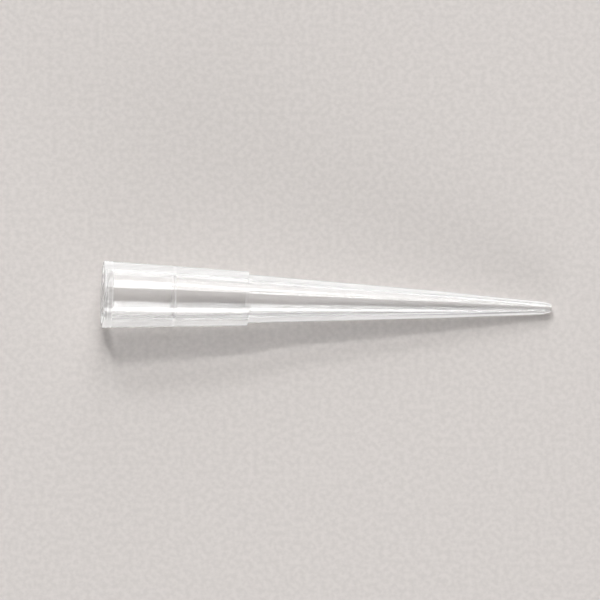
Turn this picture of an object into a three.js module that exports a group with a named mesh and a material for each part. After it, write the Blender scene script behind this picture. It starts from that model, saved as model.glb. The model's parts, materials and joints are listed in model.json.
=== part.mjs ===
// A 200 microlitre pipette tip, moulded in one piece from clear polypropylene.
//
// The tip is a turned form: one closed outline, revolved about the tip's own axis. Along that axis, from
// the wide open end, it has a collar that takes the pipette's nozzle, a ledge where the collar ends, and a
// long hollow cone that narrows in two tapers to the orifice. It lies on its side as it comes to rest on a
// bench, on the edge of its ledge and on its point, with the open end clear. Millimetres, +Z up, the point
// towards +X.

import * as THREE from "three";

// ---- Driving dimensions: lengths along the axis ----

const overallLength = 51.0;
const collarLength = 16.5; // open end to ledge
const pointLength = 12.6; // the last stretch, where the cone narrows faster
const mouthDepth = 0.5; // the plain widened ring just inside the rim
const leadInDepth = 1.0; // rim to the end of the sloped lead-in, where the socket starts
const socketDepth = 7.8; // rim to the step, where the narrower cone that seals on the nozzle starts
const stepLength = 0.5; // the step's slope
const bevelLength = 0.8; // the narrowed end of the point

// ---- Driving dimensions: radii, walls and tapers ----

const socketRadius = 3.25; // at the start of the socket
const socketTaper = 2.2; // degrees to the axis
const mouthRelief = 0.25; // how much wider the mouth is than the socket
const stepIn = 0.16; // how far the step brings the wall in
const collarWall = 0.55; // at the rim, measured from the socket's radius
const collarTaper = 2.45; // degrees to the axis, outside
const ledgeStep = 0.32; // how far the collar stands out over the cone
const coneWall = 0.37; // just under the ledge
const pointTopBore = 1.15; // bore radius where the point's stretch starts
const pointWall = 0.38; // there, and down to the bevel
const orificeRadius = 0.25;
const orificeWall = 0.2; // left at the very end by the bevel

// ---- Driving dimensions: rounded edges ----

const rimRound = 0.12;
const mouthRound = 0.07;
const stepRound = 0.15;
const ledgeRound = 0.1;
const ledgeRootRound = 0.12;
const bevelRound = 0.3;
const orificeRound = 0.06;

// ---- How finely the solid is faceted ----

const facetsRound = 16; // even, so that one flat faces straight down, and wide enough to lie still on
const facetsPerRound = 3;

const radians = THREE.MathUtils.degToRad;

// ---- Sizes that follow from the driving dimensions ----

const rimRadius = socketRadius + collarWall;
const mouthRadius = socketRadius + mouthRelief;
const mouthWall = rimRadius - mouthRadius;
const ledgeRadius = rimRadius - collarLength * Math.tan(radians(collarTaper));
const coneTopRadius = ledgeRadius - ledgeStep;
const stepTopRadius = socketRadius - (socketDepth - leadInDepth) * Math.tan(radians(socketTaper));
const stepFootRadius = stepTopRadius - stepIn;
const pointTop = overallLength - pointLength;
const pointTopRadius = pointTopBore + pointWall;
const bevelTop = overallLength - bevelLength;
const bevelTopRadius = THREE.MathUtils.lerp(
  orificeRadius + pointWall,
  pointTopRadius,
  bevelLength / pointLength,
);
const endRadius = orificeRadius + orificeWall;

// A corner of the outline: its distance from the rim, its radius from the axis, and how much it is rounded.
const corner = (along, radius, round = 0) => ({ at: new THREE.Vector2(radius, along), round });

// Along the outside from the rim to the point.
const outside = [
  corner(0, rimRadius, Math.min(rimRound, mouthWall / 2)),
  corner(collarLength, ledgeRadius, Math.min(ledgeRound, ledgeStep / 2)),
  corner(collarLength, coneTopRadius, Math.min(ledgeRootRound, ledgeStep / 2)),
  corner(pointTop, pointTopRadius),
  corner(bevelTop, bevelTopRadius, bevelRound),
  corner(overallLength, endRadius, Math.min(orificeRound, orificeWall / 3)),
];

// Then back up the bore from the orifice to the rim.
const inside = [
  corner(overallLength, orificeRadius, Math.min(orificeRound, orificeWall / 3)),
  corner(pointTop, pointTopBore),
  corner(collarLength, coneTopRadius - coneWall),
  corner(socketDepth + stepLength, stepFootRadius, stepRound),
  corner(socketDepth, stepTopRadius, stepRound),
  corner(leadInDepth, socketRadius),
  corner(mouthDepth, mouthRadius),
  corner(0, mouthRadius, Math.min(mouthRound, mouthWall / 3)),
];

// The points of a closed outline, in order, with each rounded corner replaced by an arc that meets both its
// sides.
function roundedOutline(corners) {
  return corners.flatMap(({ at, round }, i) => {
    if (round === 0) return [at];
    const before = corners.at(i - 1).at.clone().sub(at).normalize();
    const after = corners[(i + 1) % corners.length].at.clone().sub(at).normalize();
    const halfAngle = before.angleTo(after) / 2;
    const toCentre = before.clone().add(after).normalize();
    const centre = at.clone().addScaledVector(toCentre, round / Math.sin(halfAngle));
    const start = at.clone().addScaledVector(before, round / Math.tan(halfAngle));
    const turn = Math.sign(before.cross(after)) * (Math.PI - 2 * halfAngle);
    return Array.from({ length: facetsPerRound + 1 }, (_, step) =>
      start.clone().rotateAround(centre, (-turn * step) / facetsPerRound),
    );
  });
}

// Where along the axis the revolved outline balances: its moment over its volume, summed side by side.
function balancePoint(outline) {
  let volume = 0;
  let moment = 0;
  outline.forEach((a, i) => {
    const b = outline[(i + 1) % outline.length];
    const squares = (a.x * a.x + a.x * b.x + b.x * b.x) / 3;
    const leaning = (a.x * a.x + 2 * a.x * b.x + 3 * b.x * b.x) / 12;
    volume += (b.y - a.y) * squares;
    moment += (b.y - a.y) * (a.y * squares + (b.y - a.y) * leaning);
  });
  return moment / volume;
}

// The angle of the axis to the bench, point down, once the tip lies still: the line under the outline that
// nothing reaches below, and whose two touching points have the balance point between them.
function restingTilt(outline) {
  const balance = balancePoint(outline);
  for (const a of outline) {
    for (const b of outline.filter((p) => p.y > a.y)) {
      const tilt = Math.atan2(a.x - b.x, b.y - a.y);
      const depth = (p) => p.y * Math.sin(tilt) + p.x * Math.cos(tilt);
      const foot = (p) => p.y * Math.cos(tilt) - p.x * Math.sin(tilt);
      const nothingBelow = outline.every((p) => depth(p) < depth(a) + 1e-9);
      const centre = balance * Math.cos(tilt);
      if (nothingBelow && foot(a) <= centre && centre <= foot(b)) return tilt;
    }
  }
  throw new Error("the outline has no side to lie on");
}

const polypropylene = new THREE.MeshStandardMaterial({
  color: 0xf1f3f2,
  roughness: 0.16,
  metalness: 0,
  transparent: true,
  opacity: 0.45,
  side: THREE.DoubleSide,
});

const outline = roundedOutline([...outside, ...inside]);

// The flats of the solid lie at the outline's radii and its corners a little further out, so that the tip
// measures, fits and touches the bench across its flats as the round one does.
const cornersOut = 1 / Math.cos(Math.PI / facetsRound);
const throughCorners = outline.map((p) => new THREE.Vector2(p.x * cornersOut, p.y));

// The lathe turns about its own Y, with its seam half a facet round so that a flat faces down.
const tip = new THREE.Mesh(
  new THREE.LatheGeometry([...throughCorners, throughCorners[0]], facetsRound, Math.PI / facetsRound),
  polypropylene,
);
tip.name = "pipette_tip";
tip.rotation.z = -Math.PI / 2; // the axis runs along +X

const lying = new THREE.Group();
lying.add(tip);
lying.rotation.y = restingTilt(outline);

// Set down with the middle of its underside at the origin.
const box = new THREE.Box3().setFromObject(lying, true);
lying.position.set(-(box.min.x + box.max.x) / 2, 0, -box.min.z);

const pipetteTip = new THREE.Group();
pipetteTip.add(lying);

export default pipetteTip;
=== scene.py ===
"""A clear pipette tip lying on a pale bench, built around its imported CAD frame.

The tip is one turned moulding: a closed outline revolved about the tip's own axis. The bench, the
softboxes and the camera are the stage it is shown on. Everything is in metres, +Z up.
"""

import json
import math

import bpy
import numpy as np
from bpy.props import FloatProperty, FloatVectorProperty, IntProperty, PointerProperty
from bpy.types import Operator, Panel, PropertyGroup
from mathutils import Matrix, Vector


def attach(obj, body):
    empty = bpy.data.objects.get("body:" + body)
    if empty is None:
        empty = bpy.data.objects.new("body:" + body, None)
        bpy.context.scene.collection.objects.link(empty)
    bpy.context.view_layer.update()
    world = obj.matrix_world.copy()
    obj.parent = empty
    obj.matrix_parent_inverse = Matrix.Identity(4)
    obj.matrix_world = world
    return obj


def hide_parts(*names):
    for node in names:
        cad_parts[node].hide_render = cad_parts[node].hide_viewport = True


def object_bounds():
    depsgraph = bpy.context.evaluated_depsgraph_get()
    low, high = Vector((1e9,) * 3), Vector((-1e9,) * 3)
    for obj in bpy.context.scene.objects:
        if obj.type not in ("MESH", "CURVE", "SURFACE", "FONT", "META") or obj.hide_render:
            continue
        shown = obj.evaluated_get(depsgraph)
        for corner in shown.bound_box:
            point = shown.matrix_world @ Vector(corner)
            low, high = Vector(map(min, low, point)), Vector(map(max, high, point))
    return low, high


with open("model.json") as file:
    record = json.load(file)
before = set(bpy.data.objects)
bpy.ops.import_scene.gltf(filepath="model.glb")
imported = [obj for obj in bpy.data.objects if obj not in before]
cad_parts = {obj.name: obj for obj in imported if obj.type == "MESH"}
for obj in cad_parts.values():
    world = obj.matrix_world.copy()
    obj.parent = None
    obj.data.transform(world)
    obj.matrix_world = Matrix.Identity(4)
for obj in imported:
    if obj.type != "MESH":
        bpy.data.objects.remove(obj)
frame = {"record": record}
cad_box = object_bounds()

bl_info = {
    "name": "Pipette Tip",
    "version": (1, 0, 0),
    "blender": (4, 5, 0),
    "location": "View3D > Sidebar > Pipette Tip",
    "description": "Builds a clear moulded pipette tip and the bench it lies on",
    "category": "Add Mesh",
}

MM = 0.001
WHITE = (1.0, 1.0, 1.0, 1.0)
NOISE_MEAN = 0.5
NOISE_DETAIL = 3.0
CAMERA_REACH = (0.01, 100.0)  # the nearest and farthest that the camera sees

# The softboxes: low and high edge in degrees from the horizon behind the tip, over the top towards the
# front, left and right edge in degrees from the middle, and radiance.
SOFTBOXES = {
    "low_left": (36, 45, -18, -8, 20.0),
    "high_left": (57, 64, -16, -7, 43.0),
    "far_left": (20, 40, -34, -18, 3.0),
    "glow": (3, 30, -3, 8, 4.4),
    "low_middle": (30, 45, -3, 8, 7.2),
    "low_right": (3, 45, 8, 19, 3.2),
    "middle": (45, 90, 0, 5, 8.2),
    "right": (45, 80, 5, 19, 3.8),
    "crown": (80, 90, 6, 15, 8.6),
    "front": (165, 177, -25, 25, 12.0),
}


# ---- Sizes and colours ----


def length(name, description, millimetres):
    """A length property, given in millimetres."""
    return FloatProperty(
        name=name,
        description=description,
        default=millimetres * MM,
        min=0.0,
        precision=5,
        unit="LENGTH",
    )


def angle(name, description, degrees):
    """An angle property, given in degrees."""
    return FloatProperty(
        name=name, description=description, default=math.radians(degrees), unit="ROTATION"
    )


def factor(name, description, value, most=1.0):
    """A plain number between 0 and its greatest value."""
    return FloatProperty(name=name, description=description, default=value, min=0.0, max=most)


def colour(name, description, rgb):
    """A linear RGB colour property."""
    return FloatVectorProperty(
        name=name, description=description, default=rgb, min=0.0, max=1.0, size=3, subtype="COLOR"
    )


class TipSizes(PropertyGroup):
    """The outline of the moulding, along its axis and out from it."""

    overall_length: length("Overall length", "Rim to orifice", 51.0)
    collar_length: length("Collar length", "Rim to ledge", 16.5)
    point_length: length("Point length", "The last stretch, where the cone narrows faster", 12.6)
    mouth_depth: length("Mouth depth", "The plain widened ring just inside the rim", 0.5)
    lead_in_depth: length("Lead-in depth", "Rim to the start of the socket", 1.0)
    socket_depth: length("Socket depth", "Rim to the step before the sealing cone", 7.8)
    step_length: length("Step length", "The slope of the step", 0.5)
    bevel_length: length("Bevel length", "The narrowed end of the point", 0.8)
    socket_radius: length("Socket radius", "At the start of the socket", 3.25)
    socket_taper: angle("Socket taper", "The socket's wall to the axis", 2.2)
    mouth_relief: length("Mouth relief", "How much wider the mouth is than the socket", 0.1)
    step_in: length("Step in", "How far the step brings the bore's wall in", 0.03)
    collar_wall: length("Collar wall", "At the rim, from the socket's radius", 0.55)
    collar_taper: angle("Collar taper", "The collar's outside to the axis", 2.45)
    ledge_step: length("Ledge step", "How far the collar stands out over the cone", 0.32)
    cone_wall: length("Cone wall", "Just under the ledge", 0.37)
    point_top_bore: length("Point bore", "Bore radius where the point starts", 1.15)
    point_wall: length("Point wall", "From there down to the bevel", 0.38)
    orifice_radius: length("Orifice radius", "The bore at the very end", 0.25)
    orifice_wall: length("Orifice wall", "What the bevel leaves at the end", 0.2)


class TipRounds(PropertyGroup):
    """The radii of the rounded edges, and how finely they are drawn."""

    rim: length("Rim", "Outer edge of the rim", 0.2)
    mouth: length("Mouth", "Inner edge of the rim", 0.15)
    lead_in: length("Lead-in", "Both edges of the lead-in slope", 0.1)
    step: length("Step", "Both edges of the step", 1.0)
    ledge: length("Ledge", "Outer edge of the ledge", 0.05)
    ledge_root: length("Ledge root", "Where the ledge meets the cone", 0.05)
    bend: length("Bend", "Where a taper changes", 2.0)
    bevel: length("Bevel", "Top of the bevel", 0.3)
    orifice: length("Orifice", "Both edges of the orifice", 0.06)
    arc_steps: IntProperty(name="Arc steps", description="Facets along a round", default=8)
    steps_round: IntProperty(name="Steps round", description="Facets round the axis", default=720)


class TipFinish(PropertyGroup):
    """The clear polypropylene and its surface."""

    tint: colour("Tint", "Colour of the plastic", (0.925, 0.929, 0.931))
    clearness: factor("Clearness", "Share of the light that passes through the surface", 0.99)
    index: factor("Refractive index", "Of polypropylene", 1.49, 3.0)
    roughness: factor("Roughness", "Of the polished walls", 0.07)
    flow: factor("Flow lines", "How much the roughness varies from one flow line to the next", 0.02)
    flow_size: length("Flow line length", "From one flow line to the next along the tip", 16.0)
    flow_width: length("Flow line width", "From one flow line to the next across the tip", 0.9)
    milk: colour("Milk", "Colour of the haze inside the plastic", (0.87, 0.866, 0.863))
    through: factor("Haze through", "Share of the haze's light that comes from behind", 0.35)
    haze: factor("Haze", "Share of the haze at the point, from none at the rim", 0.1)
    edge_haze: factor("Edge haze", "Share of the haze added where the wall is seen edge on", 0.92)
    edge_from: factor("Edge haze from", "One less the cosine at which it starts", 0.22)
    edge_to: factor("Edge haze to", "One less the cosine at which it is full", 0.45)
    edge_clear: factor("Edge clear from", "One less the cosine at which it starts to clear again", 0.62)
    edge_end: factor("Edge clear to", "One less the cosine at which it is clear", 1.0)
    mouth_haze: factor("Mouth haze", "Share of the haze from the rim to the socket", 0.3)
    line_haze: factor("Witness lines", "Share of the haze at the edges inside the mouth", 0.25)
    line_width: length("Witness line width", "Half the width of each", 0.12)
    step_haze: factor("Step haze", "Share of the haze on the step's slope", 0.2)


class StageLook(PropertyGroup):
    """The bench, the light and the camera."""

    bench_colour: colour("Bench colour", "Pale warm grey", (0.637, 0.600, 0.579))
    bench_roughness: factor("Bench roughness", "Of the laminate", 0.75)
    bench_gloss: factor("Bench gloss", "Specular level of the laminate", 0.2)
    grain: factor("Grain", "Grains of the laminate in a metre", 1700.0, 10000.0)
    grain_contrast: factor("Grain contrast", "How far it strays from the bench's colour", 0.05)
    grain_spread: factor("Grain spread", "How far from its mean the noise has full contrast", 0.2)
    bench_reach: length("Bench reach", "From the middle of the bench to its sides", 12000.0)
    frame_width: length("Frame width", "How much of the bench the picture spans", 67.9)
    camera_distance: length("Camera distance", "From the tip", 2100.0)
    camera_elevation: angle("Camera elevation", "Above the bench", 64.0)
    aim_left: length("Aim left", "How far left of the middle the camera aims", 2.95)
    aim_front: length("Aim front", "How far in front of the middle the camera aims", 0.61)
    softbox_distance: length("Softbox distance", "From the tip", 9000.0)
    walls: factor("Wall light", "Brightness of the walls around", 0.03, 10.0)
    wall_top: angle("Wall top", "Elevation up to which the walls reach", 37.0)
    wall_blur: factor("Wall blur", "How softly they end, in the sine of the elevation", 0.08)


# ---- Shader maths ----


class Tree:
    """The node tree of a material or a world, with nodes added by type."""

    def __init__(self, owner):
        owner.use_nodes = True
        self.tree = owner.node_tree
        self.tree.nodes.clear()

    def node(self, kind, settings=None, sockets=None, output=0):
        """Adds a node of that type, sets it up, then feeds its sockets, named or numbered, with values or
        links. Gives its output, named or numbered.
        """
        made = self.tree.nodes.new(kind)
        for name, value in (settings or {}).items():
            setattr(made, name, value)
        for name, value in (sockets or {}).items():
            if isinstance(value, Value):
                self.tree.links.new(value.socket, made.inputs[name])
            else:
                made.inputs[name].default_value = value
        return Value(self, made.outputs[output]) if made.outputs else None


class Value:
    """One output in a node tree: arithmetic on it adds Math nodes."""

    def __init__(self, tree, socket):
        self.tree = tree
        self.socket = socket

    def math(self, operation, *operands):
        """Adds a Math node on the operands, in their order."""
        return self.tree.node("ShaderNodeMath", {"operation": operation}, dict(enumerate(operands)))

    def __add__(self, other):
        return self.math("ADD", self, other)

    def __radd__(self, other):
        return self.math("ADD", other, self)

    def __sub__(self, other):
        return self.math("SUBTRACT", self, other)

    def __rsub__(self, other):
        return self.math("SUBTRACT", other, self)

    def __mul__(self, other):
        return self.math("MULTIPLY", self, other)

    def __rmul__(self, other):
        return self.math("MULTIPLY", other, self)

    def __abs__(self):
        return self.math("ABSOLUTE", self)

    def at_most(self, limit):
        """The value itself up to the limit, and the limit above it."""
        return self.math("MINIMUM", self, limit)

    def smooth(self, low, high):
        """0 below low, 1 above high, and a smooth step between them."""
        settings = {"interpolation_type": "SMOOTHSTEP"}
        sockets = {"Value": self, "From Min": low, "From Max": high}
        return self.tree.node("ShaderNodeMapRange", settings, sockets)

    def band(self, middle, half, blur):
        """1 within half of the middle, falling to 0 over the blur on both sides."""
        return 1.0 - abs(self - middle).smooth(half, half + blur)


def mixed_shaders(tree, share, first, second):
    """The first shader where the share is 0, and the second where it is 1."""
    return tree.node("ShaderNodeMixShader", None, {0: share, 1: first, 2: second})


def mixed_colours(tree, share, first, second):
    """The first colour where the share is 0, and the second where it is 1. The Mix node has its sockets
    for colours at 6 and 7, and its colour at output 2.
    """
    return tree.node("ShaderNodeMix", {"data_type": "RGBA"}, {0: share, 6: first, 7: second}, 2)


# ---- Materials ----


def clear_polypropylene(finish, sizes, turn, rim):
    """Clear moulded polypropylene: refracting and glossy, with flow lines along the tip, haze where its
    wall is seen edge on, and a fine witness line at each edge inside the mouth and at the step.
    """
    material = bpy.data.materials.new("clear_polypropylene")
    tree = Tree(material)
    coordinates = tree.node("ShaderNodeTexCoord", output="Object")
    tilt = math.atan2(-turn[0, 2], turn[0, 0])
    own_frame = {"Vector": coordinates, "Location": rim, "Rotation": (0.0, tilt, 0.0)}
    line_frame = own_frame | {"Scale": (finish.flow_size, finish.flow_width, finish.flow_width)}
    along = tree.node("ShaderNodeMapping", {"vector_type": "TEXTURE"}, own_frame)
    lines = tree.node("ShaderNodeMapping", {"vector_type": "TEXTURE"}, line_frame)
    flow = tree.node("ShaderNodeTexNoise", None, {"Vector": lines, "Scale": 1.0, "Detail": NOISE_DETAIL})
    glass = tree.node(
        "ShaderNodeBsdfPrincipled",
        None,
        {
            "Base Color": (*finish.tint, 1.0),
            "Roughness": finish.roughness + (flow - NOISE_MEAN) * finish.flow,
            "IOR": finish.index,
            "Transmission Weight": finish.clearness,
        },
    )
    diffuse = tree.node("ShaderNodeBsdfDiffuse", None, {"Color": (*finish.milk, 1.0)})
    translucent = tree.node("ShaderNodeBsdfTranslucent", None, {"Color": (*finish.milk, 1.0)})
    milk = mixed_shaders(tree, finish.through, diffuse, translucent)
    facing = tree.node("ShaderNodeLayerWeight", output="Facing")  # one less the cosine
    edge = facing.smooth(finish.edge_from, finish.edge_to)
    edge = edge * (1.0 - facing.smooth(finish.edge_clear, finish.edge_end))
    depth = tree.node("ShaderNodeSeparateXYZ", None, {"Vector": along}, "X")
    haze = depth.smooth(0.0, sizes.overall_length) * finish.haze + edge * finish.edge_haze
    haze = haze + depth.band(0.0, sizes.lead_in_depth, finish.line_width) * finish.mouth_haze
    for line in (sizes.mouth_depth, sizes.lead_in_depth):
        haze = haze + depth.band(line, 0.0, finish.line_width) * finish.line_haze
    step_middle = sizes.socket_depth + sizes.step_length / 2
    haze = haze + depth.band(step_middle, 0.0, sizes.step_length / 2) * finish.step_haze
    surface = mixed_shaders(tree, haze.at_most(1.0), glass, milk)
    tree.node("ShaderNodeOutputMaterial", None, {"Surface": surface})
    return material


def bench_top(look):
    """A pale matt laminate, with a fine grain lighter and darker than its colour."""
    material = bpy.data.materials.new("bench_top")
    tree = Tree(material)
    noise = {
        "Vector": tree.node("ShaderNodeTexCoord", output="Object"),
        "Scale": look.grain,
        "Detail": NOISE_DETAIL,
    }
    grain = tree.node("ShaderNodeTexNoise", None, noise)
    dark_share = grain.smooth(NOISE_MEAN - look.grain_spread, NOISE_MEAN + look.grain_spread)
    light, dark = (
        (*(channel * level for channel in look.bench_colour), 1.0)
        for level in (1.0 + look.grain_contrast, 1.0 - look.grain_contrast)
    )
    laminate = {
        "Base Color": mixed_colours(tree, dark_share, light, dark),
        "Roughness": look.bench_roughness,
        "Specular IOR Level": look.bench_gloss,
    }
    surface = tree.node("ShaderNodeBsdfPrincipled", None, laminate)
    tree.node("ShaderNodeOutputMaterial", None, {"Surface": surface})
    return material


# ---- The tip's surface ----


def outline_corners(sizes, rounds):
    """The corners of the closed outline as (along, radius, round), down the outside and back up the bore."""
    end = sizes.overall_length
    rim_radius = sizes.socket_radius + sizes.collar_wall
    mouth_radius = sizes.socket_radius + sizes.mouth_relief
    ledge_radius = rim_radius - sizes.collar_length * math.tan(sizes.collar_taper)
    cone_top_radius = ledge_radius - sizes.ledge_step
    socket_length = sizes.socket_depth - sizes.lead_in_depth
    step_top_radius = sizes.socket_radius - socket_length * math.tan(sizes.socket_taper)
    point_top = end - sizes.point_length
    point_top_radius = sizes.point_top_bore + sizes.point_wall
    bevel_share = sizes.bevel_length / sizes.point_length
    end_of_taper = sizes.orifice_radius + sizes.point_wall
    bevel_top_radius = end_of_taper + (point_top_radius - end_of_taper) * bevel_share
    outside = [
        (0.0, rim_radius, rounds.rim),
        (sizes.collar_length, ledge_radius, rounds.ledge),
        (sizes.collar_length, cone_top_radius, rounds.ledge_root),
        (point_top, point_top_radius, rounds.bend),
        (end - sizes.bevel_length, bevel_top_radius, rounds.bevel),
        (end, sizes.orifice_radius + sizes.orifice_wall, rounds.orifice),
    ]
    inside = [
        (end, sizes.orifice_radius, rounds.orifice),
        (point_top, sizes.point_top_bore, rounds.bend),
        (sizes.collar_length, cone_top_radius - sizes.cone_wall, rounds.bend),
        (sizes.socket_depth + sizes.step_length, step_top_radius - sizes.step_in, rounds.step),
        (sizes.socket_depth, step_top_radius, rounds.step),
        (sizes.lead_in_depth, sizes.socket_radius, rounds.lead_in),
        (sizes.mouth_depth, mouth_radius, rounds.lead_in),
        (0.0, mouth_radius, rounds.mouth),
    ]
    return np.array(outside + inside)


def unit(vectors):
    """The vectors, each divided by its own length."""
    return vectors / np.linalg.norm(vectors, axis=-1, keepdims=True)


def rounded_outline(corners, arc_steps):
    """The outline's points and the directions it runs in at them. Each corner is an arc that meets both its
    sides, and the sides between the arcs are straight. Seen from its centre, a point of an arc is a mix of
    the arc's two ends, each weighted by the sine of the angle to the other end over the sine of the whole.
    Its direction is the same mix of the directions at the ends.
    """
    at, radius = corners[:, :2], corners[:, 2]
    before = unit(np.roll(at, 1, axis=0) - at)
    after = unit(np.roll(at, -1, axis=0) - at)
    half = np.arccos(np.clip((before * after).sum(1), -1, 1)) / 2
    centre = at + unit(before + after) * (radius / np.sin(half))[:, None]
    reach = (radius / np.tan(half))[:, None]
    first, last = at + before * reach, at + after * reach
    share = np.linspace(0, 1, arc_steps + 1)[None, :, None]
    sweep = (np.pi - 2 * half)[:, None, None]
    of_first = np.sin((1 - share) * sweep) / np.sin(sweep)
    of_last = np.sin(share * sweep) / np.sin(sweep)
    arcs = centre[:, None] + of_first * (first - centre)[:, None] + of_last * (last - centre)[:, None]
    directions = of_last * after[:, None] - of_first * before[:, None]
    return arcs.reshape(-1, 2), directions.reshape(-1, 2)


def revolved(outline, directions, steps_round):
    """Vertices, normals and faces of a closed outline turned about +X: the point at an angle round it is
    (along, radius times the angle's cosine, radius times its sine). A normal is the outline's direction
    turned a quarter outwards. Both ways round close on themselves, so there is no seam.
    """
    around = np.linspace(0, 2 * np.pi, steps_round, endpoint=False)

    def turned(along, outward):
        rings = [along + 0 * around, outward * np.cos(around), outward * np.sin(around)]
        return np.stack(rings, axis=-1).reshape(-1, 3)

    here = np.arange(len(outline) * steps_round).reshape(len(outline), steps_round)
    ahead = np.roll(here, -1, axis=0)
    quads = np.stack([here, np.roll(here, -1, axis=1), np.roll(ahead, -1, axis=1), ahead], axis=-1)
    points = turned(outline[:, :1], outline[:, 1:])
    normals = turned(-directions[:, 1:], directions[:, :1])
    return points, normals, quads.reshape(-1, 4)


def resting_frame(points):
    """How the tip lies: the directions of its own axis, of across and of up from the axis, as rows, and the
    place of its rim's middle, with the lowest point on the bench and the middle of its box over the origin.
    """
    rim_face = next(mount for mount in frame["record"]["mounts"] if mount["name"] == "rim_face")
    axis = unit(-np.array(rim_face["axis"]))
    across = np.array([0.0, 1.0, 0.0])
    turn = np.array([axis, across, np.cross(axis, across)])
    low, high = (points @ turn).min(0), (points @ turn).max(0)
    return turn, -np.array([(low[0] + high[0]) / 2, (low[1] + high[1]) / 2, low[2]])


def mesh_piece(name, points, faces, material):
    """A smooth-shaded object at the origin, its place in its mesh."""
    mesh = bpy.data.meshes.new(name)
    mesh.from_pydata(points.tolist(), [], faces.tolist())
    mesh.polygons.foreach_set("use_smooth", np.ones(len(faces), bool))
    mesh.materials.append(material)
    mesh.update()
    piece = bpy.data.objects.new(name, mesh)
    bpy.context.scene.collection.objects.link(piece)
    return piece


# ---- The stage ----


def bench(look):
    """One flat square, wide enough to fill every view."""
    reach = look.bench_reach
    corners = np.array([[-reach, -reach, 0], [reach, -reach, 0], [reach, reach, 0], [-reach, reach, 0]])
    return mesh_piece("bench", corners, np.array([[0, 1, 2, 3]]), bench_top(look))


def softbox(name, low, high, left, right, radiance, distance):
    """A rectangular lamp that faces the tip. A side is twice the distance times the tangent of half the
    angle it spans, and the power is pi times the area times the radiance.
    """
    elevation, turn = math.radians(low + high) / 2, math.radians(left + right) / 2
    lamp = bpy.data.lights.new(name, "AREA")
    lamp.shape = "RECTANGLE"
    lamp.size = 2 * distance * math.tan(math.radians(right - left) / 2)
    lamp.size_y = 2 * distance * math.tan(math.radians(high - low) / 2)
    lamp.energy = math.pi * lamp.size * lamp.size_y * radiance
    light = bpy.data.objects.new(name, lamp)
    backward = Vector((0.0, math.cos(elevation), math.sin(elevation)))
    towards = backward * math.cos(turn) + Vector((math.sin(turn), 0.0, 0.0))
    light.location = towards * distance
    light.rotation_mode = "QUATERNION"
    light.rotation_quaternion = (-towards).to_track_quat("-Z", "Y")
    bpy.context.scene.collection.objects.link(light)


def room(look):
    """Faintly lit walls under a dark ceiling. The camera has the bench's colour there instead, and so does
    what it sees reflected or through the plastic, up to the first matt surface.
    """
    world = bpy.data.worlds.new("room")
    tree = Tree(world)
    camera_ray, glossy_ray, through_ray, matt_surfaces = (
        tree.node("ShaderNodeLightPath", output=name)
        for name in ("Is Camera Ray", "Is Glossy Ray", "Is Transmission Ray", "Diffuse Depth")
    )
    seen = camera_ray + (glossy_ray + through_ray) * (1.0 - matt_surfaces.at_most(1.0))
    direction = tree.node("ShaderNodeTexCoord", output="Generated")
    upward = tree.node("ShaderNodeSeparateXYZ", None, {"Vector": direction}, "Z")
    top = math.sin(look.wall_top)
    strength = (1.0 - upward.smooth(top - look.wall_blur, top + look.wall_blur)) * look.walls
    walls = tree.node("ShaderNodeBackground", None, {"Color": WHITE, "Strength": strength})
    backdrop = tree.node("ShaderNodeBackground", None, {"Color": (*look.bench_colour, 1.0)})
    surface = mixed_shaders(tree, seen.at_most(1.0), walls, backdrop)
    tree.node("ShaderNodeOutputWorld", None, {"Surface": surface})
    return world


def camera(look):
    """A long lens that looks down on the tip, at half its height."""
    lens = bpy.data.cameras.new("camera")
    made = bpy.data.objects.new("camera", lens)
    low, high = cad_box
    aim = Vector((-look.aim_left, -look.aim_front, (low.z + high.z) / 2))
    back = Vector((0.0, -math.cos(look.camera_elevation), math.sin(look.camera_elevation)))
    made.location = aim + back * look.camera_distance
    made.rotation_mode = "QUATERNION"
    made.rotation_quaternion = (-back).to_track_quat("-Z", "Y")
    lens.lens = lens.sensor_width * look.camera_distance / look.frame_width
    lens.clip_start, lens.clip_end = CAMERA_REACH
    bpy.context.scene.collection.objects.link(made)
    return made


# ---- Operators ----


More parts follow.
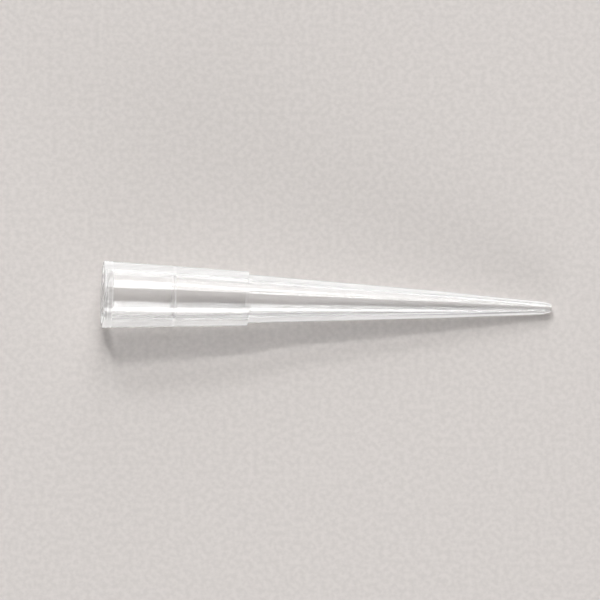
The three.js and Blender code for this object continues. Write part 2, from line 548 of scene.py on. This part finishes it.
class PIPETTETIP_OT_tip(Operator):
    """Build the turned moulding in clear polypropylene"""

    bl_idname = "pipettetip.tip"
    bl_label = "Tip"

    def execute(self, context):
        sizes = context.scene.tip_sizes
        rounds = context.scene.tip_rounds
        finish = context.scene.tip_finish
        outline, directions = rounded_outline(outline_corners(sizes, rounds), rounds.arc_steps)
        points, normals, faces = revolved(outline, directions, rounds.steps_round)
        turn, rim = resting_frame(points)
        plastic = clear_polypropylene(finish, sizes, turn, rim)
        piece = mesh_piece("tip", points @ turn + rim, faces, plastic)
        piece.data.normals_split_custom_set_from_vertices((normals @ turn).tolist())
        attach(piece, "root")
        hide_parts("pipette_tip")
        return {"FINISHED"}


class PIPETTETIP_OT_stage(Operator):
    """Lay out the bench, the light and the camera"""

    bl_idname = "pipettetip.stage"
    bl_label = "Stage"

    def execute(self, context):
        scene = context.scene
        look = scene.stage_look
        bench(look)
        for name, place in SOFTBOXES.items():
            softbox(name, *place, look.softbox_distance)
        scene.world = room(look)
        scene.camera = camera(look)
        scene.view_settings.view_transform = "Standard"
        scene.cycles.blur_glossy = 0.0  # lets the lamps' light reach the bench through the clear walls
        return {"FINISHED"}


class PIPETTETIP_PT_panel(Panel):
    """The sizes, the finish and the stage, and the buttons that build them"""

    bl_label = "Pipette Tip"
    bl_idname = "PIPETTETIP_PT_panel"
    bl_space_type = "VIEW_3D"
    bl_region_type = "UI"
    bl_category = "Pipette Tip"

    def draw(self, context):
        layout = self.layout
        scene = context.scene
        for group in (scene.tip_sizes, scene.tip_rounds, scene.tip_finish):
            for name in group.__annotations__:
                layout.prop(group, name)
        layout.operator(PIPETTETIP_OT_tip.bl_idname)
        for name in scene.stage_look.__annotations__:
            layout.prop(scene.stage_look, name)
        layout.operator(PIPETTETIP_OT_stage.bl_idname)


CLASSES = (
    TipSizes,
    TipRounds,
    TipFinish,
    StageLook,
    PIPETTETIP_OT_tip,
    PIPETTETIP_OT_stage,
    PIPETTETIP_PT_panel,
)
GROUPS = {
    "tip_sizes": TipSizes,
    "tip_rounds": TipRounds,
    "tip_finish": TipFinish,
    "stage_look": StageLook,
}


def register():
    for cls in CLASSES:
        bpy.utils.register_class(cls)
    for name, group in GROUPS.items():
        setattr(bpy.types.Scene, name, PointerProperty(type=group))


def unregister():
    for name in GROUPS:
        delattr(bpy.types.Scene, name)
    for cls in reversed(CLASSES):
        bpy.utils.unregister_class(cls)


def main():
    register()
    bpy.ops.pipettetip.tip()
    bpy.ops.pipettetip.stage()


if __name__ == "__main__":
    main()
